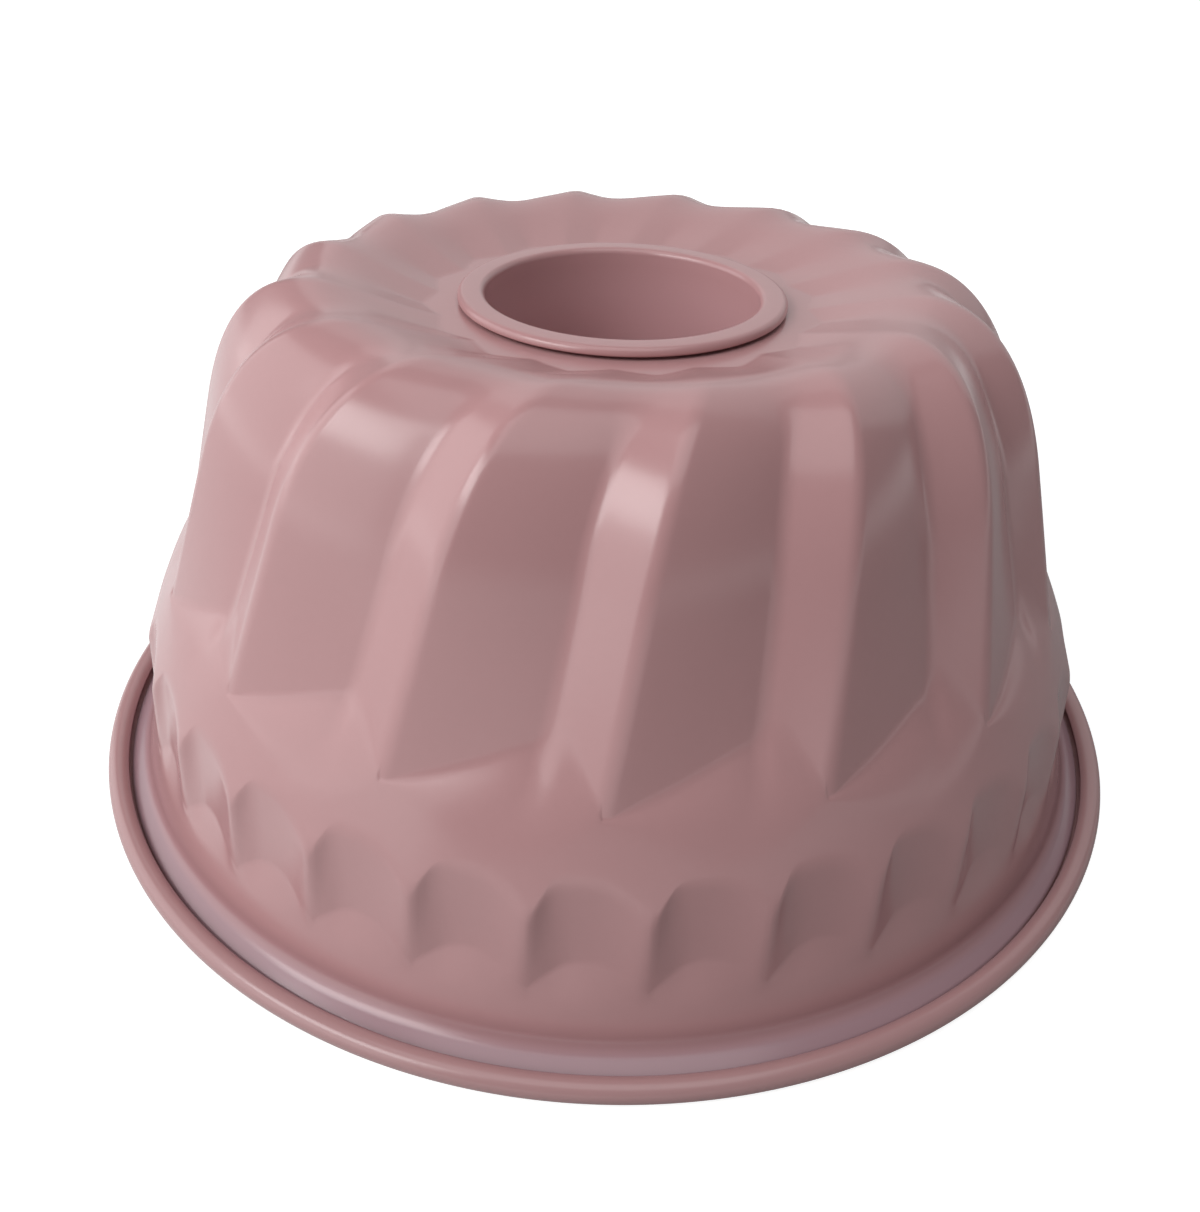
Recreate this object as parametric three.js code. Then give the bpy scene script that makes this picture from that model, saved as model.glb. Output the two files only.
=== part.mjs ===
import * as THREE from 'three';

// Fluted tube pan standing mouth down on its rolled rim.
// Millimetres, +Z up, the axis of the pan on Z, the rim on the plane z = 0.

// Overall sizes
const RIM_RADIUS = 110; // outer edge of the rolled rim
const CROWN_HEIGHT = 98.2; // top of the crown above the resting plane
const SHEET = 0.7; // coated sheet
const JOINT_GAP = 0.3; // clearance between pieces that touch

// Rolled rim and the step inside it
const BEAD_RADIUS = 2.1; // outside radius of the roll
const CURL_END_DEG = 165; // where the rolled edge stops, measured from the outside of the bead
const GROOVE_GAP = 0.2; // between the roll and the side of the step
const GROOVE_ROUND = 0.5; // round at the bottom of the groove
const LEDGE_WIDTH = 4.2; // step, from the foot of the wall to its outer side
const LEDGE_HEIGHT = 1.6; // outer edge of the step above the resting plane
const LEDGE_SLOPE_DEG = 24; // fall of the step towards its outer edge
const LEDGE_ROUND = 0.5; // round over the outer edge of the step
const WALL_FILLET = 1.6; // hollow between wall and step

// Wall, from the step upward: how high each zone is and how far it leans in
const BAND_HEIGHT = 9.93; // plain band under the scallops
const BAND_LEAN = 2.58;
const RIDGE_HEIGHT = 15.35; // ridges between the scallops
const RIDGE_LEAN = 1.2;
const BELLY_HEIGHT = 14.34; // plain belly, up to the feet of the flute crests
const BELLY_LEAN = 6.67;
const WALL_LEAN = 9.4; // fluted wall, from the feet to the shoulder

// Crown
const CROWN_RISE = 25.4; // from the shoulder to the top
const CROWN_RUN = 24; // from the shoulder in to the highest circle
const LEVEL_RUN = 13.5; // how far the crown stays level outside that circle
const STRAIGHT_RUN = 12.9; // how far the wall stays straight above the shoulder
const FLAT_DROP = 5.95; // flat round the tube, below the top of the crown
const FLAT_WIDTH = 3.8; // flat, from the lip of the tube to a crest
const FLAT_LOBE = 2.6; // how much further the flat reaches between crests
const LOBE_FADE = 0.6; // share of the inner slope over which those lobes die out

// Flutes and scallops
const FLUTES = 16;
const TWIST_DEG = 20.9; // turn of a crest from its foot to the flat
const FLUTE_DEPTH = 5; // on the straight wall
const CROWN_DEPTH = 0.7; // on the inner slope of the crown
const FADE_START = 9.2; // where the flutes begin to deepen, inside the highest circle
const FADE_END = 4.4; // where they have their full depth, inside the shoulder
const VALLEY_AT = 0.675; // place of the valley in the pitch, counted from the crest
const CREST_ROUND = 0.24; // softness of the crest on the wall
const CROWN_CREST_ROUND = 0.35; // and on the crown
const VALLEY_ROUND = 0.24; // softness of the valley on the wall
const CROWN_VALLEY_ROUND = 0.8; // and on the crown
const FLUTE_RUNOUT = 9.2; // how far up the wall the ramp at the foot closes the valley
const SCALLOP_DEPTH = 2.2;
const SCALLOP_DEEP_AT = -0.3; // deepest place of a scallop, from its middle towards a ridge
const SCALLOP_STEEP = 3; // how steep a scallop is on the left
const SCALLOP_EASY = 2.8; // and on the right
const SCALLOP_TURN_DEG = -0.6; // lower end of a ridge from the foot of a flute crest
const SCALLOP_LEAN_DEG = 0.3; // turn of a ridge from its lower end to the arches
const SCALLOP_RUNOUT = 5.5; // how far up the ramp at the lower end of a scallop reaches

// Centre tube
const LIP_OUTER = 31.5; // outer edge of the lip
const LIP_WIDTH = 5.2; // lip, from its outer edge to the inside of the neck
const LIP_HEIGHT = 2.2; // top of the lip above the flat
const LIP_ROUND = 1.2; // rounds at both edges of the lip
const TUBE_TAPER = 6.3; // how much narrower the lower end is than the neck
const TUBE_END_HEIGHT = 7; // lower end above the resting plane
const HEM = 4; // turned-in edge of the lower end

const TUBE_SIDES = 48;
const LIP_STEPS = 2;
const WIRE_SIDES = 6;

const rad = (deg) => (deg * Math.PI) / 180;
const v2 = (r, z) => new THREE.Vector2(r, z);
const mix = (a, b, t) => a + (b - a) * t;

// Rim, wall and crown stations, each placed from its neighbour.
const BEAD_CENTRE = RIM_RADIUS - BEAD_RADIUS;
const CURL_INSIDE = BEAD_RADIUS - SHEET;
const LEDGE_OUTER = RIM_RADIUS - 2 * BEAD_RADIUS - GROOVE_GAP;
const BAND_FOOT_RADIUS = LEDGE_OUTER - LEDGE_WIDTH;
const BAND_FOOT = LEDGE_HEIGHT + LEDGE_WIDTH * Math.tan(rad(LEDGE_SLOPE_DEG));
const BAND_TOP_RADIUS = BAND_FOOT_RADIUS - BAND_LEAN;
const BAND_TOP = BAND_FOOT + BAND_HEIGHT;
const BELLY_RADIUS = BAND_TOP_RADIUS - RIDGE_LEAN;
const BELLY_FOOT = BAND_TOP + RIDGE_HEIGHT;
const FOOT_RADIUS = BELLY_RADIUS - BELLY_LEAN;
const FOOT_HEIGHT = BELLY_FOOT + BELLY_HEIGHT;
const SHOULDER_RADIUS = FOOT_RADIUS - WALL_LEAN;
const SHOULDER_HEIGHT = CROWN_HEIGHT - CROWN_RISE;
const TOP_RADIUS = SHOULDER_RADIUS - CROWN_RUN;
const FLAT_RADIUS = LIP_OUTER + FLAT_WIDTH;
const FLAT_HEIGHT = CROWN_HEIGHT - FLAT_DROP;
const PITCH = (2 * Math.PI) / FLUTES;

// The lip closes down to the flat, and the collar of the crown hole stands inside it.
const LIP_TOP = FLAT_HEIGHT + LIP_HEIGHT;
const LIP_TURN = LIP_TOP - LIP_ROUND;
const NECK_INSIDE = LIP_OUTER - LIP_WIDTH;
const COLLAR_FACE = NECK_INSIDE + 2 * SHEET + JOINT_GAP;
const COLLAR_TOP = LIP_TURN;

function softMin(a, b, width) {
  const h = Math.max(width - Math.abs(a - b), 0) / width;
  return Math.min(a, b) - (h * h * width) / 4;
}

// Depth of a flute, 0 on the crest and 1 in the valley, for a place p in the pitch.
function fluteShape(p, flute) {
  const { valley } = flute;
  const rise = p / valley;
  const fall = (1 - p) / (1 - valley);
  const low = softMin(rise, fall, flute.valleyRound);
  const before = -p / (1 - valley);
  const after = (p - 1) / valley;
  const floor = Math.max(before, after);
  return -softMin(-low, -floor, flute.crestRound);
}

// Crest line of the flutes: inner slope, crown, straight wall.
const flatEdge = v2(FLAT_RADIUS, FLAT_HEIGHT);
const top = v2(TOP_RADIUS, CROWN_HEIGHT);
const shoulder = v2(SHOULDER_RADIUS, SHOULDER_HEIGHT);
const foot = v2(FOOT_RADIUS, FOOT_HEIGHT);
const wallDown = foot.clone().sub(shoulder).normalize();
const innerSlope = new THREE.CubicBezierCurve(
  flatEdge,
  v2(mix(FLAT_RADIUS, TOP_RADIUS, 0.34), mix(FLAT_HEIGHT, CROWN_HEIGHT, 0.31)),
  v2(mix(FLAT_RADIUS, TOP_RADIUS, 0.8), CROWN_HEIGHT),
  top
);
const outerSlope = new THREE.CubicBezierCurve(
  top,
  v2(TOP_RADIUS + LEVEL_RUN, CROWN_HEIGHT),
  shoulder.clone().addScaledVector(wallDown, -STRAIGHT_RUN),
  shoulder
);

const smooth = (t) => t * t * (3 - 2 * t);
const clamp = (t) => Math.min(Math.max(t, 0), 1);

function depthAt(r) {
  const start = TOP_RADIUS - FADE_START;
  const end = SHOULDER_RADIUS - FADE_END;
  return mix(CROWN_DEPTH, FLUTE_DEPTH, smooth(clamp((r - start) / (end - start))));
}

// Place of the valley in the pitch, and how soft crest and valley are, at a radius.
function fluteAt(r) {
  const out = clamp((r - FLAT_RADIUS) / (SHOULDER_RADIUS - FLAT_RADIUS));
  const soft = smooth(clamp(out / 0.4)) * (1 - smooth(clamp((out - 0.5) / 0.5)));
  const valley = mix(0.5, VALLEY_AT, out);
  const crestRound = mix(CREST_ROUND, CROWN_CREST_ROUND, soft);
  const valleyRound = mix(VALLEY_ROUND, CROWN_VALLEY_ROUND, soft);
  return { valley, crestRound, valleyRound };
}

function twistAt(r) {
  return (rad(TWIST_DEG) * (FOOT_RADIUS - r)) / (FOOT_RADIUS - FLAT_RADIUS);
}

// Places of the mesh columns in one pitch: tight at the crest and the valley.
function columnPlaces(flute) {
  const { valley } = flute;
  const steep = 1 / valley + 1 / (1 - valley);
  const crest = flute.crestRound / steep;
  const dip = flute.valleyRound / steep;
  return [
    0,
    crest,
    mix(crest, valley - dip, 0.5),
    valley - dip,
    valley,
    valley + dip,
    mix(valley + dip, 1 - crest, 0.5),
    1 - crest,
  ];
}
const WALL_FLUTE = fluteAt(SHOULDER_RADIUS);
const WALL_PLACES = columnPlaces(WALL_FLUTE);
const COLUMNS = WALL_PLACES.length;
const AROUND = FLUTES * COLUMNS;

function point(r, z, angle) {
  return new THREE.Vector3(r * Math.sin(angle), -r * Math.cos(angle), z);
}

// A ring of points, one for every column of every flute.
function flutedRing(place) {
  const ring = [];
  for (let k = 0; k < AROUND; k += 1) {
    ring.push(place(Math.floor(k / COLUMNS), k % COLUMNS));
  }
  return { ring, normals: null };
}

function flutedRow(base, sink) {
  const flute = fluteAt(base.x);
  const places = columnPlaces(flute);
  const twist = twistAt(base.x);
  return flutedRing((count, c) => {
    const p = places[c];
    const depth = fluteShape(p, flute);
    const r = base.x + sink.x * depth;
    const z = base.y + sink.y * depth;
    return point(r, z, (count + p) * PITCH + twist);
  });
}

function inwardOf(tangent) {
  return v2(tangent.y, -tangent.x);
}

// Rows of the outer face, from the crown hole to the end of the roll.
const rows = [];
const holeRound = Math.min(SHEET, (COLLAR_TOP - FLAT_HEIGHT) * 0.7);
const crownTwist = twistAt(FLAT_RADIUS);

function circleRow(r, z, normal, angles) {
  const ring = angles.map((a) => point(r, z, a));
  const normals = angles.map((a) => point(normal.x, normal.y, a));
  return { ring, normals };
}

const innerAngles = [];
for (let i = 0; i < AROUND; i += 2) {
  const p = columnPlaces(fluteAt(FLAT_RADIUS))[i % COLUMNS];
  innerAngles.push((Math.floor(i / COLUMNS) + p) * PITCH + crownTwist);
}
const collarOut = v2(1, 0);
const up = v2(0, 1);
rows.push(circleRow(COLLAR_FACE, COLLAR_TOP, collarOut, innerAngles));
rows.push(circleRow(COLLAR_FACE, FLAT_HEIGHT + holeRound, collarOut, innerAngles));
rows.push(circleRow(COLLAR_FACE + holeRound, FLAT_HEIGHT, up, innerAngles));

// Edge of the flat: level, reaching further out between the crests. The lobes die out up the slope.
for (const t of [0, 0.36, 0.74]) {
  const base = innerSlope.getPoint(t);
  const fade = Math.min(t / LOBE_FADE, 1);
  const sink = inwardOf(innerSlope.getTangent(t)).multiplyScalar(fade * depthAt(base.x));
  sink.x += (1 - fade) * FLAT_LOBE;
  rows.push(flutedRow(base, sink));
}
for (const t of [0, 0.26, 0.5, 0.74]) {
  const base = outerSlope.getPoint(t);
  rows.push(flutedRow(base, inwardOf(outerSlope.getTangent(t)).multiplyScalar(depthAt(base.x))));
}

// Straight wall down to the ramp that closes each flute.
const wallLength = foot.distanceTo(shoulder);
const wallInward = inwardOf(wallDown);
for (const t of [0, 0.5, 1]) {
  rows.push(
    flutedRing((count, c) => {
      const p = WALL_PLACES[c];
      const shape = fluteShape(p, WALL_FLUTE);
      const along = t * (wallLength - FLUTE_RUNOUT * shape);
      const base = shoulder.clone().addScaledVector(wallDown, along);
      const place = base.clone().addScaledVector(wallInward, FLUTE_DEPTH * shape);
      return point(place.x, place.y, (count + p) * PITCH + twistAt(base.x));
    })
  );
}

// Belly: a plain turned surface under the feet of the flutes.
const bellySlope = BELLY_LEAN / BELLY_HEIGHT;
const ridgeSlope = RIDGE_LEAN / RIDGE_HEIGHT;
const bellyRadius = (z) => FOOT_RADIUS + (FOOT_HEIGHT - z) * bellySlope;
const evenAngle = (k) => (k / COLUMNS) * PITCH;

function bellyRow(z, even) {
  return flutedRing((count, c) => {
    const p = mix(WALL_PLACES[c], c / COLUMNS, even);
    return point(bellyRadius(z), z, (count + p) * PITCH);
  });
}

const archRise = (depth) => depth / (bellySlope - ridgeSlope);
const archTop = BELLY_FOOT + archRise(SCALLOP_DEPTH);
rows.push(bellyRow(mix(FOOT_HEIGHT, archTop, 0.12), 0.2));
rows.push(bellyRow(mix(FOOT_HEIGHT, archTop, 0.55), 0.8));

// Scallops: hollow between ridges, two in every flute pitch.
const half = COLUMNS / 4;
const ridgeTurn = rad(SCALLOP_LEAN_DEG) / (archTop - BAND_TOP);
function scallopShape(k) {
  const step = ((k + half) % (2 * half)) / half - 1;
  const away = step - SCALLOP_DEEP_AT;
  const reach = away < 0 ? 1 + SCALLOP_DEEP_AT : 1 - SCALLOP_DEEP_AT;
  return 1 - Math.abs(away / reach) ** (away < 0 ? SCALLOP_STEEP : SCALLOP_EASY);
}
function scallopRow(heightAt) {
  return flutedRing((count, c) => {
    const k = count * COLUMNS + c;
    const shape = scallopShape(k);
    const z = heightAt(shape);
    const r = BELLY_RADIUS + (BELLY_FOOT - z) * ridgeSlope - SCALLOP_DEPTH * shape;
    return point(r, z, evenAngle(k) + rad(SCALLOP_TURN_DEG) + ridgeTurn * (z - BAND_TOP));
  });
}
rows.push(scallopRow((shape) => BELLY_FOOT + archRise(SCALLOP_DEPTH * shape)));
rows.push(scallopRow((shape) => BAND_TOP + SCALLOP_RUNOUT * shape));

// Plain band.
const bandDown = v2(BAND_LEAN, -BAND_HEIGHT);
const bandLean = Math.atan2(BAND_LEAN, BAND_HEIGHT);
const bandRow = flutedRing((count, c) => {
  const place = v2(BAND_TOP_RADIUS, BAND_TOP).addScaledVector(bandDown, 0.16);
  return point(place.x, place.y, evenAngle(count * COLUMNS + c));
});
rows.push(bandRow);

// Rim: fillet, step, groove, flat and roll, all turned.
const rimAngles = [];
for (let k = 0; k < AROUND; k += 2) {
  rimAngles.push(evenAngle(k));
}
function rimRow(r, z, deg) {
  rows.push(circleRow(r, z, v2(Math.cos(rad(deg)), Math.sin(rad(deg))), rimAngles));
}
function rimArc(r, z, radius, from, to, steps, hollow) {
  for (let i = 0; i <= steps; i += 1) {
    const deg = mix(from, to, i / steps);
    const x = r + radius * Math.cos(rad(deg));
    const y = z + radius * Math.sin(rad(deg));
    rimRow(x, y, hollow ? deg + 180 : deg);
  }
}
const bandLeanDeg = (bandLean * 180) / Math.PI;
const ledgeFall = rad(LEDGE_SLOPE_DEG);
const ledgeLength = LEDGE_WIDTH / Math.cos(ledgeFall);
const ledgeTurn = Math.tan(Math.PI / 4 - ledgeFall / 2);
const ledgeRound = Math.min(LEDGE_ROUND, (0.45 * ledgeLength) / ledgeTurn);
const halfCorner = Math.PI / 4 + (bandLean + ledgeFall) / 2;
const wallFillet = Math.min(WALL_FILLET, 0.5 * ledgeLength * Math.tan(halfCorner));
const filletAway = wallFillet / Math.sin(halfCorner);
const filletWay = halfCorner - ledgeFall;
const filletRadius = BAND_FOOT_RADIUS + filletAway * Math.cos(filletWay);
const filletHeight = BAND_FOOT + filletAway * Math.sin(filletWay);
const ledgeEdge = LEDGE_HEIGHT + ledgeRound * (Math.tan(ledgeFall) - 1 / Math.cos(ledgeFall));
rimArc(filletRadius, filletHeight, wallFillet, 180 + bandLeanDeg, 270 - LEDGE_SLOPE_DEG, 2, true);
rimArc(LEDGE_OUTER - ledgeRound, ledgeEdge, ledgeRound, 90 - LEDGE_SLOPE_DEG, 0, 2, false);
rimArc(LEDGE_OUTER + GROOVE_ROUND, SHEET + GROOVE_ROUND, GROOVE_ROUND, 180, 270, 1, true);
rimArc(BEAD_CENTRE, BEAD_RADIUS, CURL_INSIDE, -90, CURL_END_DEG, 5, true);

function shellOf(points, corners) {
  const geometry = new THREE.BufferGeometry();
  const places = points.flatMap((p) => [p.x, p.y, p.z]);
  geometry.setAttribute('position', new THREE.Float32BufferAttribute(places, 3));
  geometry.setIndex(corners);
  return geometry;
}

// Sheet made solid: the rows, the same rows moved through the sheet, and the two cut edges.
function sheetSolid() {
  const points = [];
  const starts = [];
  for (const row of rows) {
    starts.push(points.length);
    points.push(...row.ring);
  }
  const faces = [];
  for (let j = 0; j + 1 < rows.length; j += 1) {
    const a = starts[j];
    const b = starts[j + 1];
    const na = rows[j].ring.length;
    const nb = rows[j + 1].ring.length;
    if (na === nb) {
      for (let i = 0; i < na; i += 1) {
        const n = (i + 1) % na;
        faces.push([a + i, b + i, b + n], [a + i, b + n, a + n]);
      }
    } else if (na < nb) {
      for (let i = 0; i < na; i += 1) {
        const n = (i + 1) % na;
        const m = 2 * i;
        const e = (m + 2) % nb;
        faces.push([a + i, b + m, b + m + 1], [a + i, b + m + 1, a + n], [a + n, b + m + 1, b + e]);
      }
    } else {
      for (let i = 0; i < nb; i += 1) {
        const n = (i + 1) % nb;
        const m = 2 * i;
        const e = (m + 2) % na;
        faces.push([a + m, b + i, a + m + 1], [a + m + 1, b + i, b + n], [a + m + 1, b + n, a + e]);
      }
    }
  }
  const sums = points.map(() => new THREE.Vector3());
  for (const [i, j, k] of faces) {
    const corners = [i, j, k];
    const ij = points[j].clone().sub(points[i]);
    const ik = points[k].clone().sub(points[i]);
    const normal = ij.cross(ik).normalize();
    corners.forEach((c, s) => {
      const next = points[corners[(s + 1) % 3]].clone().sub(points[c]);
      const last = points[corners[(s + 2) % 3]].clone().sub(points[c]);
      sums[c].addScaledVector(normal, next.angleTo(last));
    });
  }
  rows.forEach((row, j) => {
    if (row.normals) {
      row.normals.forEach((n, i) => sums[starts[j] + i].copy(n));
    }
  });
  const count = points.length;
  const moved = points.map((p, i) => p.clone().addScaledVector(sums[i].normalize(), -SHEET));
  const all = points.concat(moved);
  const skin = faces.map((f) => f.slice());
  for (const [i, j, k] of faces) {
    skin.push([i + count, k + count, j + count]);
  }
  const first = rows[0].ring.length;
  for (let i = 0; i < first; i += 1) {
    const n = (i + 1) % first;
    skin.push([i, n, n + count], [i, n + count, i + count]);
  }
  const last = starts[rows.length - 1];
  const size = rows[rows.length - 1].ring.length;
  for (let i = 0; i < size; i += 1) {
    const n = (i + 1) % size;
    skin.push([last + i, last + i + count, last + n + count], [last + i, last + n + count, last + n]);
  }
  return shellOf(all, skin.flat());
}

// Turned solid from a closed loop of radius and height points.
function turned(loop, sides) {
  const points = [];
  const skin = [];
  const count = loop.length;
  for (let i = 0; i < sides; i += 1) {
    const angle = (i / sides) * 2 * Math.PI;
    loop.forEach((p) => points.push(point(p.x, p.y, angle)));
  }
  for (let i = 0; i < sides; i += 1) {
    const a = i * count;
    const b = ((i + 1) % sides) * count;
    for (let j = 0; j < count; j += 1) {
      const n = (j + 1) % count;
      skin.push(a + j, b + j, b + n, a + j, b + n, a + n);
    }
  }
  return shellOf(points, skin);
}

// Tube: hemmed lower end, tapered wall, neck through the collar, flat lip turned outward over it.
function tubeLoop() {
  const neckFoot = FLAT_HEIGHT - 2 * SHEET;
  const endRadius = NECK_INSIDE - TUBE_TAPER;
  const skirt = FLAT_HEIGHT + JOINT_GAP;
  const edge = SHEET / 3;
  const loop = [];
  const round = (r, radius, from, to) => {
    for (let i = 0; i <= LIP_STEPS; i += 1) {
      const turn = rad(mix(from, to, i / LIP_STEPS));
      loop.push(v2(r + radius * Math.cos(turn), LIP_TURN + radius * Math.sin(turn)));
    }
  };
  const inner = NECK_INSIDE + LIP_ROUND;
  const outer = LIP_OUTER - LIP_ROUND;
  loop.push(v2(endRadius - SHEET + edge, TUBE_END_HEIGHT));
  loop.push(v2(endRadius + SHEET - edge, TUBE_END_HEIGHT));
  loop.push(v2(endRadius + SHEET, TUBE_END_HEIGHT + edge));
  loop.push(v2(NECK_INSIDE + SHEET, neckFoot));
  round(inner, LIP_ROUND - SHEET, 180, 90);
  round(outer, LIP_ROUND - SHEET, 90, 0);
  loop.push(v2(LIP_OUTER - SHEET, skirt));
  loop.push(v2(LIP_OUTER, skirt));
  round(outer, LIP_ROUND, 0, 90);
  round(inner, LIP_ROUND, 90, 180);
  loop.push(v2(NECK_INSIDE, neckFoot));
  const climb = TUBE_TAPER / (neckFoot - TUBE_END_HEIGHT);
  loop.push(v2(endRadius + climb * (HEM + SHEET), TUBE_END_HEIGHT + HEM + SHEET));
  loop.push(v2(endRadius + climb * HEM - SHEET, TUBE_END_HEIGHT + HEM));
  loop.push(v2(endRadius - SHEET, TUBE_END_HEIGHT + edge));
  return loop;
}

// Wire laid inside the roll.
function wireLoop() {
  const loop = [];
  const radius = CURL_INSIDE - JOINT_GAP;
  for (let i = 0; i < WIRE_SIDES; i += 1) {
    const angle = (i / WIRE_SIDES) * 2 * Math.PI;
    loop.push(v2(BEAD_CENTRE + radius * Math.cos(angle), BEAD_RADIUS + radius * Math.sin(angle)));
  }
  return loop;
}

const coat = new THREE.MeshStandardMaterial({ color: 0xb98f8d, roughness: 0.38, metalness: 0.1 });
const steel = new THREE.MeshStandardMaterial({ color: 0x8f9294, roughness: 0.45, metalness: 1.0 });

const pan = new THREE.Group();
pan.name = 'fluted_tube_pan';

function addPiece(name, geometry, material) {
  geometry.computeVertexNormals();
  const mesh = new THREE.Mesh(geometry, material);
  mesh.name = name;
  pan.add(mesh);
}

addPiece('pan_body', sheetSolid(), coat);
addPiece('centre_tube', turned(tubeLoop(), TUBE_SIDES), coat);
addPiece('rim_wire', turned(wireLoop(), AROUND / 2), steel);

export default pan;
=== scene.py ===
import math

import bpy
import numpy as np
from mathutils import Matrix, Vector


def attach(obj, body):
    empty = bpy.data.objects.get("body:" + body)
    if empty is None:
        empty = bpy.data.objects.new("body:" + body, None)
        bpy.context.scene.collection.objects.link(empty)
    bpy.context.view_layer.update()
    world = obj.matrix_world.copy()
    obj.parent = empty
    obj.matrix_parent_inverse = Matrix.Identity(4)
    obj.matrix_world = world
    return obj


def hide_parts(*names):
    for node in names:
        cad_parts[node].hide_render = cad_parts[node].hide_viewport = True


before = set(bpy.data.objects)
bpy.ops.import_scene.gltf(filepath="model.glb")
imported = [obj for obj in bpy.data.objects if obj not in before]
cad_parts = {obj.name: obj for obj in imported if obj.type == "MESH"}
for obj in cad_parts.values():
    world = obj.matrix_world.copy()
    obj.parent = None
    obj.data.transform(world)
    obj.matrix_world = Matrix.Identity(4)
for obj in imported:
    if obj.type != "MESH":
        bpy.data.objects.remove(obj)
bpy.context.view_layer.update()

MM = 0.001

# Sizes of the pan in millimetres.
RIM_RADIUS = 110.0
CROWN_HEIGHT = 98.2
SHEET = 0.7
JOINT_GAP = 0.3

# Rolled rim, groove behind it and sloping ledge.
BEAD_RADIUS = 2.1
CURL_END_DEG = 165.0
GROOVE_GAP = 0.2
GROOVE_ROUND = 0.2
LEDGE_WIDTH = 4.2
LEDGE_HEIGHT = 1.6
LEDGE_SLOPE_DEG = 24.0
LEDGE_ROUND = 1.0

# Plain band, ridges of the scallops, belly and fluted wall, each with its height and its lean.
WALL_FILLET = 4.5
BAND_HEIGHT = 9.93
BAND_LEAN = 2.58
BAND_ROUND_AT = 0.16
RIDGE_HEIGHT = 15.35
RIDGE_LEAN = 1.2
BELLY_HEIGHT = 14.34
BELLY_LEAN = 6.67
WALL_LEAN = 9.4

# Crown: its rise and run over the shoulder, and the flat round the tube with its lobed edge.
CROWN_RISE = 25.4
CROWN_RUN = 24.0
LEVEL_RUN = 13.5
STRAIGHT_RUN = 12.9
INNER_RISE = (0.34, 0.31)
INNER_LEVEL = 0.8
FLAT_DROP = 5.95
FLAT_WIDTH = 3.8
FLAT_LOBE = 2.6
LOBE_FADE = 0.6

# Flutes: depths, place of the valley in the pitch, and rounds as shares of the depth.
FLUTES = 16
TWIST_DEG = 20.9
FLUTE_DEPTH = 5.0
CROWN_DEPTH = 0.35
FADE_START = 9.2
FADE_END = 4.4
VALLEY_AT = 0.675
FLAT_VALLEY_AT = 0.5
CREST_ROUND = 0.24
CROWN_CREST_ROUND = 0.35
VALLEY_ROUND = 0.24
CROWN_VALLEY_ROUND = 0.8
# Shares of the way from the flat to the shoulder where the softer rounds of the crown come and go.
CROWN_SOFT_FULL = 0.4
CROWN_SOFT_FADE = (0.38, 0.74)

# Feet of the flutes: how the wide faces and the narrow lit faces end and run out.
FLUTE_RUNOUT = 10.8
LIT_RUNOUT_POWER = 0.6
LIT_FACE = (0.6, 0.75)
FACE_END_ROUND = 1.5
LIT_END_ROUND = 5.0
FACE_END_SHARES = (0.35, 0.45)
FOOT_DIP = 2.0
FOOT_VALLEY_ROUND = 0.6
FOOT_SHALLOW = 0.2
# Rounds at the feet, over the arches, under the scallops and on the band. Each is the length that
# it cuts and the most that it takes of the sides before and after it.
FOOT_ROUNDS = [(9.0, 0.54, 0.8), (2.0, 0.18, 0.3), (0.8, 0.3, 0.3), (1.6, 0.3, 0.4)]

# Scallops: depths, place of the deepest line, turn and lean, and the run-out onto the band.
SCALLOPS_PER_FLUTE = 2
SCALLOP_START = 0.5
SCALLOP_DEPTH = 1.5
SCALLOP_DEEP_AT = -0.3
ARCH_DEPTH = 2.1
SCALLOP_TURN_DEG = -0.6
SCALLOP_LEAN_DEG = 0.3
SCALLOP_RUNOUT = 5.5
# Powers of the left and the right side and width of the ridges.
HOLLOW_SHAPE = (2.0, 2.0, 1.3)
ARCH_SHAPE = (3.6, 2.4, 0.7)

# Tube with its flat lip and the hem at its lower end.
LIP_OUTER = 31.5
LIP_WIDTH = 5.2
LIP_HEIGHT = 2.2
LIP_ROUND = 1.2
LIP_LIFT = 0.6
TUBE_TAPER = 6.3
TUBE_END_HEIGHT = 7.0
HEM = 4.0
HEM_END_DEG = 60

# Sizes that follow from those.
BEAD_CENTRE = RIM_RADIUS - BEAD_RADIUS
CURL_INSIDE = BEAD_RADIUS - SHEET
LEDGE_OUTER = RIM_RADIUS - 2 * BEAD_RADIUS - GROOVE_GAP
LEDGE_FALL = math.radians(LEDGE_SLOPE_DEG)
BAND_SLANT = math.atan2(BAND_LEAN, BAND_HEIGHT)
BAND_FOOT_RADIUS = LEDGE_OUTER - LEDGE_WIDTH
BAND_FOOT = LEDGE_HEIGHT + LEDGE_WIDTH * math.tan(LEDGE_FALL)
HALF_CORNER = math.pi / 4 + (BAND_SLANT + LEDGE_FALL) / 2
FILLET_AWAY = WALL_FILLET / math.sin(HALF_CORNER)
FILLET_CENTRE = (
    BAND_FOOT_RADIUS + FILLET_AWAY * math.cos(HALF_CORNER - LEDGE_FALL),
    BAND_FOOT + FILLET_AWAY * math.sin(HALF_CORNER - LEDGE_FALL),
)
ROLL_CENTRE = (
    LEDGE_OUTER - LEDGE_ROUND,
    LEDGE_HEIGHT + LEDGE_ROUND * (math.tan(LEDGE_FALL) - 1 / math.cos(LEDGE_FALL)),
)
GROOVE_CENTRE = (LEDGE_OUTER + GROOVE_ROUND, SHEET + GROOVE_ROUND)
BAND_TOP_RADIUS = BAND_FOOT_RADIUS - BAND_LEAN
BAND_TOP = BAND_FOOT + BAND_HEIGHT
BELLY_RADIUS = BAND_TOP_RADIUS - RIDGE_LEAN
BELLY_FOOT = BAND_TOP + RIDGE_HEIGHT
BELLY_SLOPE = BELLY_LEAN / BELLY_HEIGHT
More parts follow.
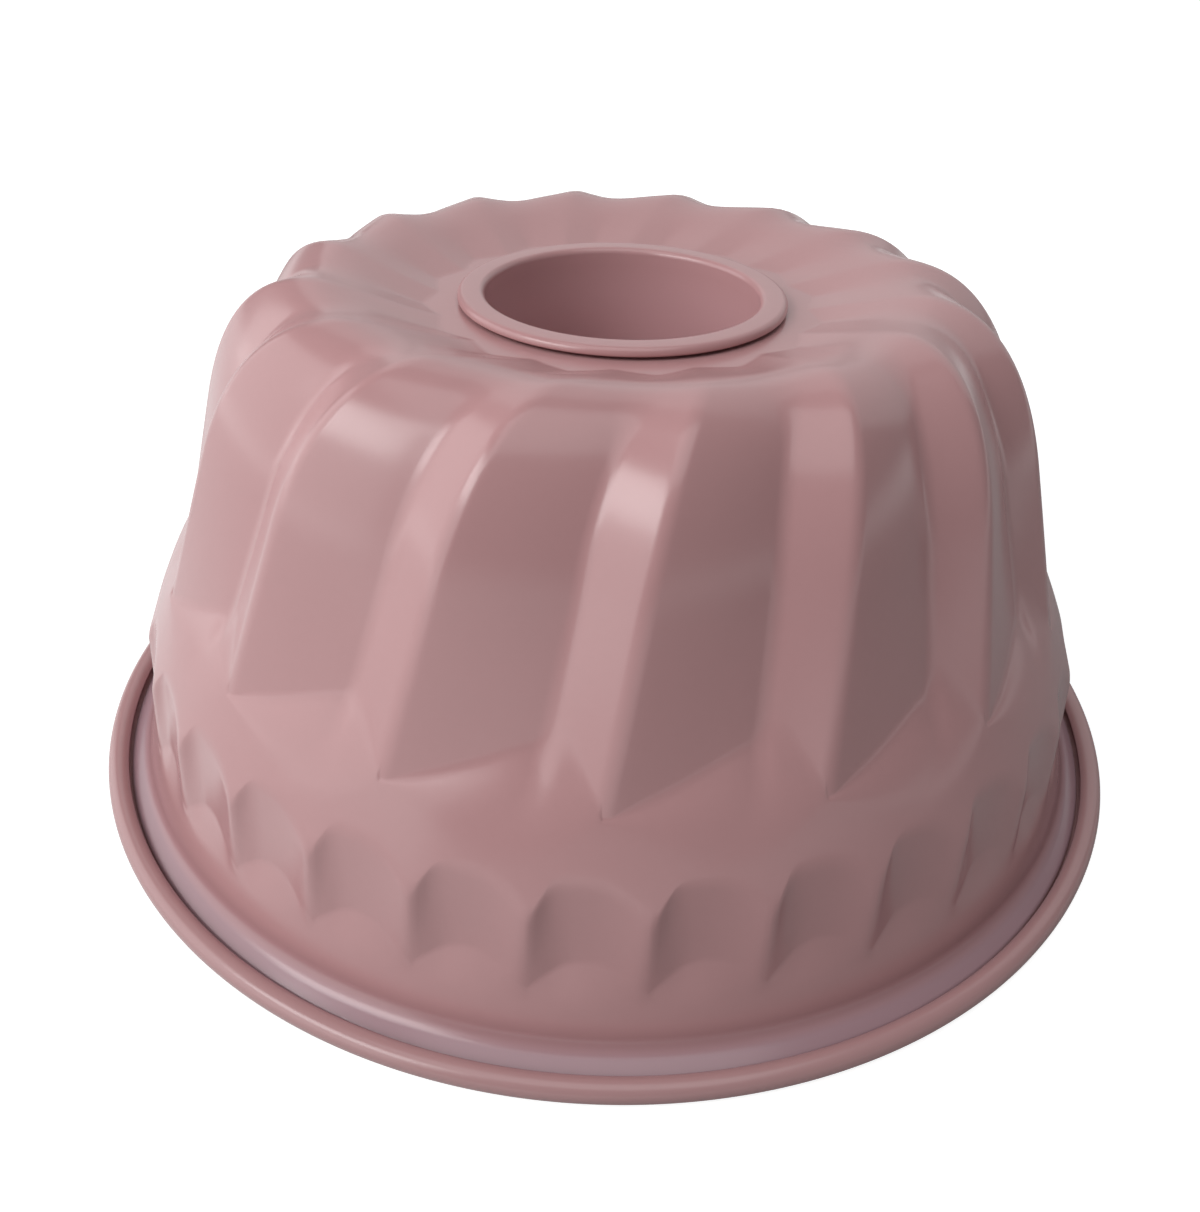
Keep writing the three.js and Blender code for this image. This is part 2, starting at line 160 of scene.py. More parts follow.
RIDGE_SLOPE = RIDGE_LEAN / RIDGE_HEIGHT
BELLY_WAY = np.array([BELLY_LEAN, -BELLY_HEIGHT]) / math.hypot(BELLY_LEAN, BELLY_HEIGHT)
FOOT_RADIUS = BELLY_RADIUS - BELLY_LEAN
FOOT_HEIGHT = BELLY_FOOT + BELLY_HEIGHT
SHOULDER_RADIUS = FOOT_RADIUS - WALL_LEAN
SHOULDER_HEIGHT = CROWN_HEIGHT - CROWN_RISE
SHOULDER = np.array([SHOULDER_RADIUS, SHOULDER_HEIGHT])
FOOT = np.array([FOOT_RADIUS, FOOT_HEIGHT])
WALL_LENGTH = np.linalg.norm(FOOT - SHOULDER)
WALL_WAY = (FOOT - SHOULDER) / WALL_LENGTH
WALL_INWARD = np.array([WALL_WAY[1], -WALL_WAY[0]])
TOP_RADIUS = SHOULDER_RADIUS - CROWN_RUN
FLAT_RADIUS = LIP_OUTER + FLAT_WIDTH
FLAT_HEIGHT = CROWN_HEIGHT - FLAT_DROP
PITCH = 2 * math.pi / FLUTES
LIP_TOP = FLAT_HEIGHT + LIP_HEIGHT
NECK_INSIDE = LIP_OUTER - LIP_WIDTH
COLLAR_FACE = NECK_INSIDE + 2 * SHEET + JOINT_GAP
COLLAR_TOP = LIP_TOP - LIP_ROUND

# Fineness of the shell: columns between the knots of a flute, rows on the collar, over the flat, up
# and down the crown, between the rounds of the wall and on them, and on the curves of the rim.
KNOT_STEPS = 5
COLLAR_ROWS = 3
COLLAR_BEND_STEPS = 4
FLAT_SHARES = (0.6, 0.85)
INNER_SHARES = np.concatenate([[0, 0.04], np.linspace(0.12, 1, 11)])
OUTER_SHARES = np.linspace(0, 1, 23)[1:-1]
STRAIGHT_ROWS = [8, 3, 6, 6, 3, 3]
BEND_ROWS = 6
FILLET_STEPS = 10
LEDGE_STEPS = 8
GROOVE_STEPS = 6
CURL_STEPS = 28
# Fineness of the tube and the wire.
TUBE_SIDES = 192
TUBE_WALL_POINTS = 12
TUBE_END_STEPS = 10
LIP_INSIDE_STEPS = 8
LIP_STEPS = 12
SKIRT_STEPS = 6
HEM_STEPS = 5
WIRE_SIDES = 16
LEAST_LENGTH = 1e-9


def mix(a, b, t):
    return a + (b - a) * t


def soft_min(a, b, width):
    h = np.maximum(width - np.abs(a - b), 0) / width
    return np.minimum(a, b) - h * h * width / 4


def soft_max(a, b, width):
    return -soft_min(-a, -b, width)


def smooth(t):
    t = np.clip(t, 0, 1)
    return t * t * (3 - 2 * t)


def share_of(value, span):
    return (value - span[0]) / (span[1] - span[0])


def flute_shape(p, flute):
    """Depth of a flute, near 0 on the crest and near 1 in the valley, at place p of the pitch."""
    valley, crest_round, valley_round = flute
    low = soft_min(p / valley, (1 - p) / (1 - valley), valley_round)
    crest = np.maximum(-p / (1 - valley), (p - 1) / valley)
    return soft_max(low, crest, crest_round)


def depth_at(r):
    fade = (TOP_RADIUS - FADE_START, SHOULDER_RADIUS - FADE_END)
    return mix(CROWN_DEPTH, FLUTE_DEPTH, smooth(share_of(r, fade)))


def flute_at(r):
    """Place of the valley in the pitch and the rounding of crest and valley at a radius."""
    out = np.clip(share_of(r, (FLAT_RADIUS, SHOULDER_RADIUS)), 0, 1)
    soft = smooth(out / CROWN_SOFT_FULL) * (1 - smooth(share_of(out, CROWN_SOFT_FADE)))
    crest_round = mix(CREST_ROUND, CROWN_CREST_ROUND, soft)
    valley_round = mix(VALLEY_ROUND, CROWN_VALLEY_ROUND, soft)
    return mix(FLAT_VALLEY_AT, VALLEY_AT, out), crest_round, valley_round


def twist_at(r):
    return math.radians(TWIST_DEG) * share_of(r, (FOOT_RADIUS, FLAT_RADIUS))


def column_places(flute):
    """Places of the mesh columns in one pitch, close together on the crest and in the valley."""
    valley, crest_round, valley_round = flute
    steep = 1 / valley + 1 / (1 - valley)
    crest, dip = crest_round / steep, valley_round / steep
    knots = [
        0, crest, mix(crest, valley - dip, 0.5), valley - dip, valley,
        valley + dip, mix(valley + dip, 1 - crest, 0.5), 1 - crest, 1,
    ]
    count = (len(knots) - 1) * KNOT_STEPS
    return np.interp(np.arange(count) / KNOT_STEPS, np.arange(len(knots)), knots)


WALL_FLUTE = flute_at(SHOULDER_RADIUS)
COLUMNS = len(column_places(WALL_FLUTE))
AROUND = COLUMNS * FLUTES
EVEN = np.arange(AROUND) / COLUMNS * PITCH


def every_flute(flute):
    """Places in the pitch and angles of the columns for the whole ring."""
    p = np.tile(column_places(flute), FLUTES)
    return p, (np.repeat(np.arange(FLUTES), COLUMNS) + p) * PITCH


def bezier(points, t):
    """Place on a curve and the way that sinks into it."""
    a, b, c, d = (np.array(q, float) for q in points)
    u = 1 - t
    place = u**3 * a + 3 * u * u * t * b + 3 * u * t * t * c + t**3 * d
    slope = u * u * (b - a) + 2 * u * t * (c - b) + t * t * (d - c)
    slope /= np.linalg.norm(slope)
    return place, np.array([slope[1], -slope[0]])


def arc(centre, radius, start, end, steps):
    turns = np.radians(np.linspace(start, end, steps + 1))
    return [(centre[0] + radius * math.cos(a), centre[1] + radius * math.sin(a)) for a in turns]


def circle_row(r, z, angles=EVEN):
    return np.stack([np.full(AROUND, r), np.full(AROUND, z), angles], -1)


def arc_rows(*curve):
    return [circle_row(r, z) for r, z in arc(*curve)]


def round_rows(stations, rounds):
    """Rows along a path of station rows, with a round at each station between the ends."""
    rows = []
    stations = np.array(stations)
    reach = np.linalg.norm(np.diff(stations[..., :2], axis=0), axis=-1)
    reach = np.maximum(reach, LEAST_LENGTH)
    ends = [stations[0]]
    starts = []
    for i, (cut, before, after) in enumerate(rounds, 1):
        length = np.minimum(cut, np.minimum(before * reach[i - 1], after * reach[i]))
        starts.append(mix(stations[i], stations[i - 1], (length / reach[i - 1])[:, None]))
        ends.append(mix(stations[i], stations[i + 1], (length / reach[i])[:, None]))
    starts.append(stations[-1])
    for i, count in enumerate(STRAIGHT_ROWS):
        for t in np.arange(count) / count:
            rows.append(mix(ends[i], starts[i], t))
        if i < len(rounds):
            for t in np.arange(BEND_ROWS) / BEND_ROWS:
                a, b, c = starts[i], stations[i + 1], ends[i + 1]
                rows.append((1 - t) ** 2 * a + 2 * t * (1 - t) * b + t * t * c)
    rows.append(stations[-1])
    return rows


def collar_rows():
    """Rows down the upturned collar in the crown hole and round its bend onto the flat."""
    _, angle = every_flute(flute_at(FLAT_RADIUS))
    angle = angle + twist_at(FLAT_RADIUS)
    bend_centre = (COLLAR_FACE + SHEET, FLAT_HEIGHT + SHEET)
    heights = np.linspace(COLLAR_TOP, FLAT_HEIGHT + SHEET, COLLAR_ROWS)
    path = [(COLLAR_FACE, z) for z in heights]
    path += arc(bend_centre, SHEET, 180, 270, COLLAR_BEND_STEPS)[1:]
    return [circle_row(r, z, angle) for r, z in path]


def fluted_row(base, sink):
    """A row on the crown that sinks from its base by the shape of the flutes."""
    flute = flute_at(base[0])
    p, angle = every_flute(flute)
    shape = flute_shape(p, flute)
    r, z = base[0] + sink[0] * shape, base[1] + sink[1] * shape
    return np.stack([r, z, angle + twist_at(base[0])], -1)


def crown_rows():
    """Rows from the collar over the lobed flat, up to the crown's top and down to the shoulder."""
    top = (TOP_RADIUS, CROWN_HEIGHT)
    inner = [
        (FLAT_RADIUS, FLAT_HEIGHT),
        (
            mix(FLAT_RADIUS, TOP_RADIUS, INNER_RISE[0]),
            mix(FLAT_HEIGHT, CROWN_HEIGHT, INNER_RISE[1]),
        ),
        (mix(FLAT_RADIUS, TOP_RADIUS, INNER_LEVEL), CROWN_HEIGHT),
        top,
    ]
    level_end = (TOP_RADIUS + LEVEL_RUN, CROWN_HEIGHT)
    outer = [top, level_end, SHOULDER - STRAIGHT_RUN * WALL_WAY, SHOULDER]
    lobe = np.array([FLAT_LOBE, 0])
    rows = collar_rows()
    edge = fluted_row(inner[0], lobe)
    for share in FLAT_SHARES:
        rows.append(mix(rows[-1], edge, share))
    for t in INNER_SHARES:
        base, sunk = bezier(inner, t)
        k = min(t / LOBE_FADE, 1)
        rows.append(fluted_row(base, (1 - k) * lobe + k * depth_at(base[0]) * sunk))
    for t in OUTER_SHARES:
        base, sunk = bezier(outer, t)
        rows.append(fluted_row(base, depth_at(base[0]) * sunk))
    return rows


def flute_stations(p, angle, lit):
    """Rows at the shoulder, at the ends of the flutes' faces and at the feet."""
    sunk = FLUTE_DEPTH * flute_shape(p, WALL_FLUTE)[:, None] * WALL_INWARD
    eased = np.maximum(flute_shape(p, (*WALL_FLUTE[:2], FOOT_VALLEY_ROUND)), 0)
    runout = FLUTE_RUNOUT * eased ** mix(1, LIT_RUNOUT_POWER, lit)
    eased = eased[:, None]
    end_base = SHOULDER + (WALL_LENGTH - runout[:, None]) * WALL_WAY
    end = end_base + sunk * (1 - FOOT_SHALLOW * eased)
    return [
        np.column_stack([SHOULDER + sunk, angle + twist_at(SHOULDER_RADIUS)]),
        np.column_stack([end, angle + twist_at(end_base[:, 0])]),
        np.column_stack([FOOT + FOOT_DIP * eased * BELLY_WAY, angle]),
    ]


def pocket(step, shape):
    """0 on the ridges and 1 at the deepest place of the scallops."""
    steep, easy, ridge = shape

    def dish(s):
        away = s - SCALLOP_DEEP_AT
        reach = np.where(away < 0, 1 + SCALLOP_DEEP_AT, 1 - SCALLOP_DEEP_AT)
        return 1 - np.abs(away / reach) ** np.where(away < 0, steep, easy)

    deep = soft_max(dish(step), np.maximum(dish(step - 2), dish(step + 2)), ridge)
    return 1 - (1 - deep) / (1 - ridge / 4)


def scallop_stations():
    """Rows along the arches over the scallops and along their lower ends."""
    step = (np.arange(AROUND) / COLUMNS * SCALLOPS_PER_FLUTE + SCALLOP_START) % 1 * 2 - 1
    hollow = SCALLOP_DEPTH * pocket(step, HOLLOW_SHAPE)
    arched = ARCH_DEPTH * pocket(step, ARCH_SHAPE)
    arch = BELLY_FOOT + arched / (BELLY_SLOPE - RIDGE_SLOPE)
    lower = BAND_TOP + SCALLOP_RUNOUT * (1 - step * step)
    arch_rise = RIDGE_HEIGHT + ARCH_DEPTH / (BELLY_SLOPE - RIDGE_SLOPE)

    def on_scallop(z, depth):
        r = BELLY_RADIUS + (BELLY_FOOT - z) * RIDGE_SLOPE - depth
        turn = np.radians(SCALLOP_TURN_DEG + SCALLOP_LEAN_DEG * (z - BAND_TOP) / arch_rise)
        return np.column_stack([r, z, EVEN + turn])

    return [on_scallop(arch, arched), on_scallop(lower, hollow)]


def pan_rows():
    """Rows of radius, height and angle on the outer face, from crown hole to end of the roll."""
    p, angle = every_flute(WALL_FLUTE)
    lit = smooth(share_of(p, LIT_FACE))
    band = circle_row(
        mix(BAND_TOP_RADIUS, BAND_FOOT_RADIUS, BAND_ROUND_AT),
        mix(BAND_TOP, BAND_FOOT, BAND_ROUND_AT),
    )
    slant, fall = math.degrees(BAND_SLANT), LEDGE_SLOPE_DEG
    fillet = arc_rows(FILLET_CENTRE, WALL_FILLET, 180 + slant, 270 - fall, FILLET_STEPS)
    stations = [*flute_stations(p, angle, lit), *scallop_stations(), band, fillet[0]]
    face_end = (mix(FACE_END_ROUND, LIT_END_ROUND, lit), *FACE_END_SHARES)
    rows = crown_rows()
    rows += round_rows(stations, [face_end, *FOOT_ROUNDS])
    rows += fillet[1:]
    rows += arc_rows(ROLL_CENTRE, LEDGE_ROUND, 90 - fall, 0, LEDGE_STEPS)
    rows += arc_rows(GROOVE_CENTRE, GROOVE_ROUND, 180, 270, GROOVE_STEPS)
    rows += arc_rows((BEAD_CENTRE, BEAD_RADIUS), CURL_INSIDE, -90, CURL_END_DEG, CURL_STEPS)
    return np.array(rows)


def turned_points(rows):
    r, z, a = rows[..., 0], rows[..., 1], rows[..., 2]
    return np.stack([r * np.sin(a), -r * np.cos(a), z], -1) * MM


def grid_faces(count, around, offset, flip):
    """Quads between rows of a ring grid."""
    i, k = np.meshgrid(np.arange(count - 1), np.arange(around), indexing="ij")
    n = (k + 1) % around
    a, b, c, d = (i * around + k, (i + 1) * around + k, (i + 1) * around + n, i * around + n)
    quads = np.stack([a, d, c, b] if flip else [a, b, c, d], -1).reshape(-1, 4)
    return quads + offset


def make_piece(name, points, quads):
    mesh = bpy.data.meshes.new(name)
    mesh.vertices.add(len(points))
    mesh.vertices.foreach_set("co", points.astype(np.float32).ravel())
    mesh.loops.add(quads.size)
    mesh.loops.foreach_set("vertex_index", quads.astype(np.int32).ravel())
    mesh.polygons.add(len(quads))
    mesh.polygons.foreach_set("loop_start", np.arange(len(quads), dtype=np.int32) * 4)
    mesh.polygons.foreach_set("use_smooth", np.ones(len(quads), dtype=bool))
    mesh.update(calc_edges=True)
    mesh.validate()
    piece = bpy.data.objects.new(name, mesh)
    bpy.context.scene.collection.objects.link(piece)
    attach(piece, "root")
    return piece


def sheet_piece(name, skin):
    """A closed sheet: its outer skin, the same skin moved through the sheet, and both edges."""
    count, around = skin.shape[:2]
    along = np.gradient(skin, axis=0)
    across = np.roll(skin, -1, 1) - np.roll(skin, 1, 1)
    normal = np.cross(along, across)
    normal /= np.linalg.norm(normal, axis=-1, keepdims=True)
    back = skin - SHEET * MM * normal
    points = np.concatenate([skin.reshape(-1, 3), back.reshape(-1, 3)])
    half = count * around
    k = np.arange(around)
    n = (k + 1) % around
    last = (count - 1) * around
    hole = np.stack([k, n, n + half, k + half], -1)
    roll = np.stack([last + k, last + k + half, last + n + half, last + n], -1)
    skins = [grid_faces(count, around, 0, False), grid_faces(count, around, half, True)]
    return make_piece(name, points, np.concatenate([*skins, hole, roll]))


def turned_piece(name, outline, sides):
    """A closed ring turned from a closed outline of radius and height."""
    outline = np.array(outline)
    angles = np.arange(sides) / sides * 2 * math.pi
    rows = np.stack([np.column_stack([np.tile(p, (sides, 1)), angles]) for p in outline])
    points = turned_points(rows)
    loop = np.concatenate([points, points[:1]])
    quads = grid_faces(len(loop), sides, 0, True) % (len(outline) * sides)
    return make_piece(name, points.reshape(-1, 3), quads)


def tube_outline():
    """Outline of the tube: hem, tapered wall, neck and the flat lip turned outward."""
    neck_foot = FLAT_HEIGHT - 2 * SHEET
    end = NECK_INSIDE - TUBE_TAPER
    taper = TUBE_TAPER / (neck_foot - TUBE_END_HEIGHT)
    turn = LIP_TOP - LIP_ROUND
    inner, outer = (NECK_INSIDE + LIP_ROUND, turn), (LIP_OUTER - LIP_ROUND, turn)
    skirt = FLAT_HEIGHT + LIP_LIFT
    hem_top = TUBE_END_HEIGHT + HEM

    def wall(side):
        heights = np.linspace(TUBE_END_HEIGHT + SHEET, neck_foot, TUBE_WALL_POINTS)
        return [(end + taper * (z - TUBE_END_HEIGHT) + side, z) for z in heights]

    outline = arc((end, TUBE_END_HEIGHT + SHEET), SHEET, 180, 360, TUBE_END_STEPS)
    outline += wall(SHEET)[1:]
    outline += arc(inner, LIP_ROUND - SHEET, 180, 90, LIP_INSIDE_STEPS)
    outline += arc(outer, LIP_ROUND - SHEET, 90, 0, LIP_INSIDE_STEPS)
    skirt_centre = (LIP_OUTER - SHEET / 2, skirt + SHEET / 2)
    outline += arc(skirt_centre, SHEET / 2, 180, 360, SKIRT_STEPS)
    outline += arc(outer, LIP_ROUND, 0, 90, LIP_STEPS)
    outline += arc(inner, LIP_ROUND, 90, 180, LIP_STEPS)
    outline += [q for q in wall(0.0)[::-1] if q[1] > hem_top + 2 * SHEET]
    outline += [(end + taper * (HEM + SHEET), hem_top + SHEET)]
    hem_centre = (end + taper * HEM - SHEET / 2, hem_top)
    outline += arc(hem_centre, SHEET / 2, HEM_END_DEG, 180, HEM_STEPS)
    return outline


shell = sheet_piece("pan_shell", turned_points(pan_rows()))
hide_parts("pan_body")
tube = turned_piece("tube_shell", tube_outline(), TUBE_SIDES)
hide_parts("centre_tube")
wire_round = arc((BEAD_CENTRE, BEAD_RADIUS), CURL_INSIDE - JOINT_GAP, 0, 360, WIRE_SIDES)[:-1]
wire = turned_piece("rim_wire_round", wire_round, TUBE_SIDES)
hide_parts("rim_wire")

# Tones of the coat, with painted light and shade on it.
ROSE = (0.51, 0.277, 0.282, 1.0)
ROSE_DEEP = (0.48, 0.260, 0.265, 1.0)
# Painted light: the inside of the tube is lighter than the coat, for light that reaches down into
# it.
TUBE_PAINTED_LIGHT = (0.565, 0.322, 0.335, 1.0)
# Painted shade and a painted grey sheen on the ledge, darker and greyer than the coat.
LEDGE_SHADE_AND_SHEEN = (0.385, 0.238, 0.268, 1.0)
# Painted shade in the corner where the wall meets the ledge.
CORNER_PAINTED_SHADE = (0.405, 0.217, 0.226, 1.0)
# Painted shade on the rolled bead, darker than the coat.
BEAD_PAINTED_SHADE = (0.44, 0.25, 0.253, 1.0)
# Painted light and shade on the inside of the tube, the corner over the ledge, the ledge and the
# bead.
# Each comes in over the first pair of radii, in millimetres, and ends over the second.
PAINTED_LIGHT_TONES = [
    (TUBE_PAINTED_LIGHT, (1.0, 2.0), (25.8, 26.8)),
    (CORNER_PAINTED_SHADE, (100.2, 101.3), (101.5, 102.8)),
    (LEDGE_SHADE_AND_SHEEN, (101.0, 103.4), (105.2, 105.7)),
    (BEAD_PAINTED_SHADE, (105.3, 105.8), (112.0, 113.0)),
]
# Scale and detail of the mottling, of the orange-peel skin and of the fine grain.
CLOUD = (38.0, 3.0)
PEEL = (600.0, 2.0)
GRAIN = (2600.0, 1.0)
CLOUD_SHARE = 0.7
COAT_ROUGH = 0.18
CLOUD_ROUGH = 0.04
GRAIN_ROUGH = 0.03
COAT_IOR = 1.6
PEEL_STRENGTH = 0.04
PEEL_HEIGHT = 0.00012
GRAIN_HEIGHT = 0.3

# Drawn wire.
STEEL_DARK = (0.30, 0.30, 0.31, 1.0)
STEEL_LIGHT = (0.44, 0.44, 0.45, 1.0)
STREAK = (420.0, 3.0)
STEEL_ROUGH = 0.34
STREAK_ROUGH = 0.2


class Tone:
    """A shader socket. Arithmetic on it adds Math nodes, and node() adds any other node."""

    def __init__(self, tree, socket=None):
        self.tree = tree
        self.socket = socket

    def node(self, kind, settings=None, sockets=None, out=0):
        made = self.tree.nodes.new(kind)
        for name, value in (settings or {}).items():
            setattr(made, name, value)
        for key, value in (sockets or {}).items():
            if isinstance(value, Tone):
                self.tree.links.new(value.socket, made.inputs[key])
            else:
                made.inputs[key].default_value = value
        return Tone(self.tree, made.outputs[out] if made.outputs else None)

    def maths(self, operation, a, b):
        return self.node("ShaderNodeMath", {"operation": operation}, {0: a, 1: b})

    def __add__(self, other):
        return self.maths("ADD", self, other)

    __radd__ = __add__

    def __mul__(self, other):
        return self.maths("MULTIPLY", self, other)

    __rmul__ = __mul__

    def __sub__(self, other):
        return self.maths("SUBTRACT", self, other)

    def __rsub__(self, other):
        return self.maths("SUBTRACT", other, self)


def blank(name):
    """A new material's tree, with nothing in it."""
    material = bpy.data.materials.new(name)
    material.use_nodes = True
    material.node_tree.nodes.clear()
    return material, Tone(material.node_tree)


def noise(base, grain):
    scale, detail = grain
    place = base.node("ShaderNodeTexCoord", out="Object")
    sockets = {"Vector": place, "Scale": scale, "Detail": detail, "Roughness": 0.5}
    return base.node("ShaderNodeTexNoise", None, sockets)


def vector_value(base, operation, *vectors):
    """The number that a Vector Math node makes of vectors."""
    sockets = dict(enumerate(vectors))
    return base.node("ShaderNodeVectorMath", {"operation": operation}, sockets, out="Value")


def climb(base, value, span):
    """0 below the span, 1 above it."""
    ends = {"Value": value, "From Min": span[0], "From Max": span[1]}
    return base.node("ShaderNodeMapRange", {"interpolation_type": "SMOOTHSTEP"}, ends)


def blend_colours(base, factor, a, b):
    settings = {"data_type": "RGBA"}
    return base.node("ShaderNodeMix", settings, {0: factor, 6: a, 7: b}, out=2)


def surface(base, sockets):
    """A Principled surface at the end of a material."""
    made = base.node("ShaderNodeBsdfPrincipled", None, sockets)
    base.node("ShaderNodeOutputMaterial", None, {"Surface": made})


def rose_coat(name):
    """Sprayed baking coat: satin rose, faint mottling, a fine orange-peel skin, and painted light
    and shade laid on by radius.
    """
    material, base = blank(name)
    cloud = noise(base, CLOUD)
    fine = noise(base, PEEL)
    grain = noise(base, GRAIN)
    mottle = cloud * CLOUD_SHARE + fine * (1 - CLOUD_SHARE)
    colour = blend_colours(base, mottle, ROSE_DEEP, ROSE)
    place = base.node("ShaderNodeTexCoord", out="Object")
    level = {0: place, 1: (1 / MM, 1 / MM, 0)}
    flat = base.node("ShaderNodeVectorMath", {"operation": "MULTIPLY"}, level)
    radius = vector_value(base, "LENGTH", flat)
    # Painted light and shade laid over the coat's colour by radius.
    for tone, comes, ends in PAINTED_LIGHT_TONES:
        there = climb(base, radius, comes) * (1 - climb(base, radius, ends))
        colour = blend_colours(base, there, colour, tone)
    skin = fine + grain * GRAIN_HEIGHT
    bump = {"Strength": PEEL_STRENGTH, "Distance": PEEL_HEIGHT, "Height": skin}
    surface(base, {
        "Base Color": colour,
        "Roughness": COAT_ROUGH + cloud * CLOUD_ROUGH + grain * GRAIN_ROUGH,
        "Normal": base.node("ShaderNodeBump", None, bump),
        "Metallic": 0.0,
        "IOR": COAT_IOR,
    })
    return material


def drawn_steel(name):
    """Plain drawn wire: grey steel with fine streaks."""
    material, base = blank(name)
    streak = noise(base, STREAK)
    surface(base, {
        "Base Color": blend_colours(base, streak, STEEL_DARK, STEEL_LIGHT),
        "Roughness": STEEL_ROUGH + streak * STREAK_ROUGH,
        "Metallic": 1.0,
    })
    return material


coat = rose_coat("rose_coat")
shell.data.materials.append(coat)
tube.data.materials.append(coat)
wire.data.materials.append(drawn_steel("drawn_steel"))

# Studio, in metres. The floor is white far off and a little below it near the pan.
WHITE = (1, 1, 1, 1)
FLOOR_HALF = 6.0
FLOOR_DROP = 0.0002
FLOOR_GREY = (0.45, 0.45, 0.45, 1.0)
FLOOR_NEAR = 0.85
FLOOR_FAR = 1.0
FLOOR_FADE = (0.22, 0.5)
MIRROR_FADE = (0.8, 2.5)
# Way to the side light, metres that way over which the floor in reflections takes its light, and
# the level of it.
LIT_WAY = (-0.9, -0.44, 0.0)
LIT_SIDE = (0.02, 0.13)
LIT_SIDE_LEVEL = 0.6
ROOM_LEVEL = 0.2
BACKDROP_FADE = (0.0, 0.09)
AIM_HEIGHT = 0.05


def ray(base, kind):
    return base.node("ShaderNodeLightPath", out=kind)


def studio_floor():
    """Pale floor that keeps the shadow near the pan and goes to white for what looks at it."""
    corners = np.array([[-1, -1, 0], [1, -1, 0], [1, 1, 0], [-1, 1, 0]]) * FLOOR_HALF
    corners[:, 2] = -FLOOR_DROP
    mesh = bpy.data.meshes.new("studio_floor")
    mesh.from_pydata(corners.tolist(), [], [(0, 1, 2, 3)])
    floor = bpy.data.objects.new("studio_floor", mesh)
    bpy.context.scene.collection.objects.link(floor)
    material, base = blank("floor_white")
    place = base.node("ShaderNodeTexCoord", out="Object")
    away = vector_value(base, "LENGTH", place)

    def level(near, span):
        ends = {"From Min": span[0], "From Max": span[1], "To Min": near, "To Max": FLOOR_FAR}
        return base.node("ShaderNodeMapRange", None, {"Value": away, **ends})

    lit_side = climb(base, vector_value(base, "DOT_PRODUCT", place, LIT_WAY), LIT_SIDE)
    far = level(0.0, MIRROR_FADE)
    mirror = far + lit_side * (1 - far) * LIT_SIDE_LEVEL
    mirrored = ray(base, "Is Glossy Ray") + ray(base, "Is Transmission Ray")
    seen = ray(base, "Is Camera Ray") * level(FLOOR_NEAR, FLOOR_FADE)
    glow = {"Color": WHITE, "Strength": seen + mirrored * mirror}
    matte = base.node("ShaderNodeBsdfDiffuse", None, {"Color": FLOOR_GREY})
    lift = base.node("ShaderNodeEmission", None, glow)
    both = base.node("ShaderNodeAddShader", None, {0: matte, 1: lift})
    base.node("ShaderNodeOutputMaterial", None, {"Surface": both})
    mesh.materials.append(material)


def studio_world():
    """Dim even room that is white to look at, and white along the skyline in reflections."""
    world = bpy.data.worlds.new("studio")
    bpy.context.scene.world = world
    world.use_nodes = True
    world.node_tree.nodes.clear()
    base = Tone(world.node_tree)
    way = base.node("ShaderNodeTexCoord", out="Generated")
    rise = base.node("ShaderNodeSeparateXYZ", None, {0: way}, out="Z")
    skyline = 1 - climb(base, rise, BACKDROP_FADE)
    mirrored = (ray(base, "Is Glossy Ray") + ray(base, "Is Transmission Ray")) * skyline
    strength = ROOM_LEVEL + (ray(base, "Is Camera Ray") + mirrored) * (1 - ROOM_LEVEL)
    room = base.node("ShaderNodeBackground", None, {"Color": WHITE, "Strength": strength})
    base.node("ShaderNodeOutputWorld", None, {"Surface": room})


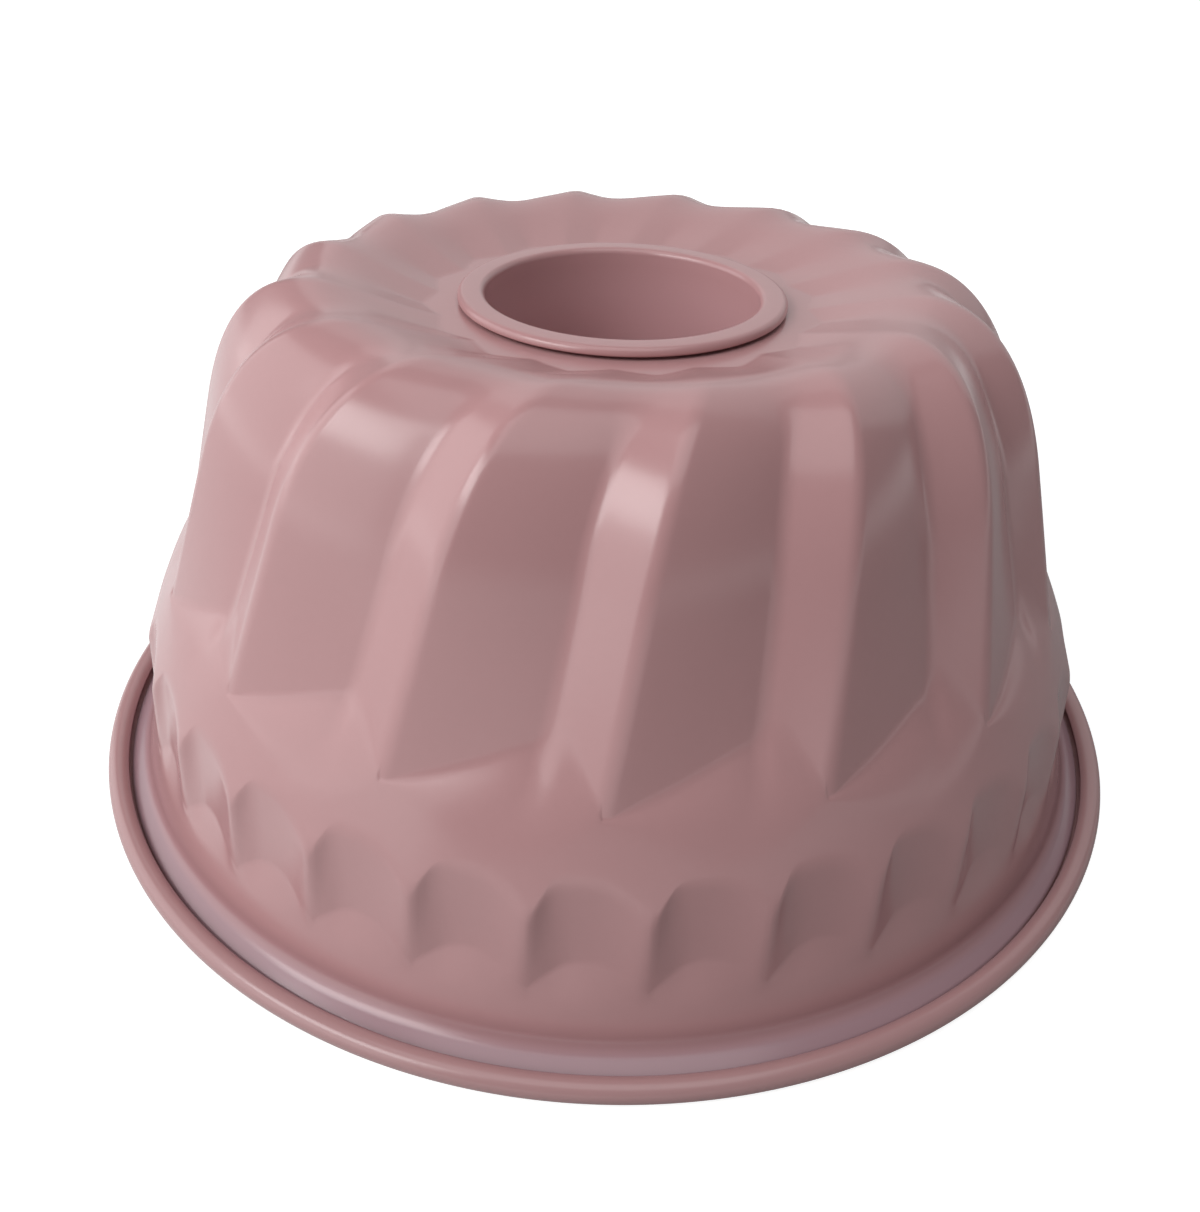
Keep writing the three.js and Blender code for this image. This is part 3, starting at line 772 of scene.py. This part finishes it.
def softbox(name, azimuth, lift, distance, width, height, power):
    """A soft light that looks at the pan, from degrees right of the viewer and degrees up."""
    light = bpy.data.lights.new(name, "AREA")
    light.shape = "RECTANGLE"
    light.size = width
    light.size_y = height
    light.energy = power
    lamp = bpy.data.objects.new(name, light)
    turn, rise = math.radians(azimuth), math.radians(lift)
    level = math.cos(rise)
    toward = Vector((math.sin(turn) * level, -math.cos(turn) * level, math.sin(rise)))
    lamp.location = Vector((0.0, 0.0, AIM_HEIGHT)) + toward * distance
    lamp.rotation_euler = (-toward).to_track_quat("-Z", "Y").to_euler()
    bpy.context.scene.collection.objects.link(lamp)


studio_floor()
studio_world()
softbox("side_softbox", azimuth=-78, lift=24, distance=1.1, width=2.2, height=1.0, power=9.2)
softbox("key_softbox", azimuth=-53, lift=40, distance=0.9, width=0.56, height=0.35, power=2.2)
softbox("top_softbox", azimuth=0, lift=76, distance=1.0, width=0.9, height=0.9, power=2.75)
softbox("back_softbox", azimuth=160, lift=35, distance=1.1, width=2.0, height=1.0, power=3.2)

# Camera of the photograph: place in rim radii, angles in radians, focal length in pixels.
CAMERA_BACK = 1.9450
CAMERA_UP = 1.4882
CAMERA_YAW = -0.0104
CAMERA_PITCH = 0.5866
CAMERA_ROLL = -0.0355
FOCAL_PIXELS = 1133.48
PHOTO_HEIGHT = 1212
SENSOR = 36.0
CLIP = (0.01, 50)


def photo_camera():
    data = bpy.data.cameras.new("photo_camera")
    data.sensor_width = SENSOR
    data.lens = SENSOR * FOCAL_PIXELS / PHOTO_HEIGHT
    data.clip_start, data.clip_end = CLIP
    camera = bpy.data.objects.new("photo_camera", data)
    bpy.context.scene.collection.objects.link(camera)
    yaw, pitch, roll = CAMERA_YAW, CAMERA_PITCH, CAMERA_ROLL
    flat = math.cos(pitch)
    ahead = Vector((math.sin(yaw) * flat, math.cos(yaw) * flat, -math.sin(pitch)))
    level = Vector((math.cos(yaw), -math.sin(yaw), 0.0))
    drop = ahead.cross(level)
    right = math.cos(roll) * level + math.sin(roll) * drop
    below = -math.sin(roll) * level + math.cos(roll) * drop
    turn = Matrix((right, -below, -ahead)).transposed()
    place = Vector((0.0, -CAMERA_BACK, CAMERA_UP)) * RIM_RADIUS * MM
    camera.matrix_world = Matrix.Translation(place) @ turn.to_4x4()
    bpy.context.scene.camera = camera


photo_camera()
bpy.context.scene.view_settings.view_transform = "Standard"
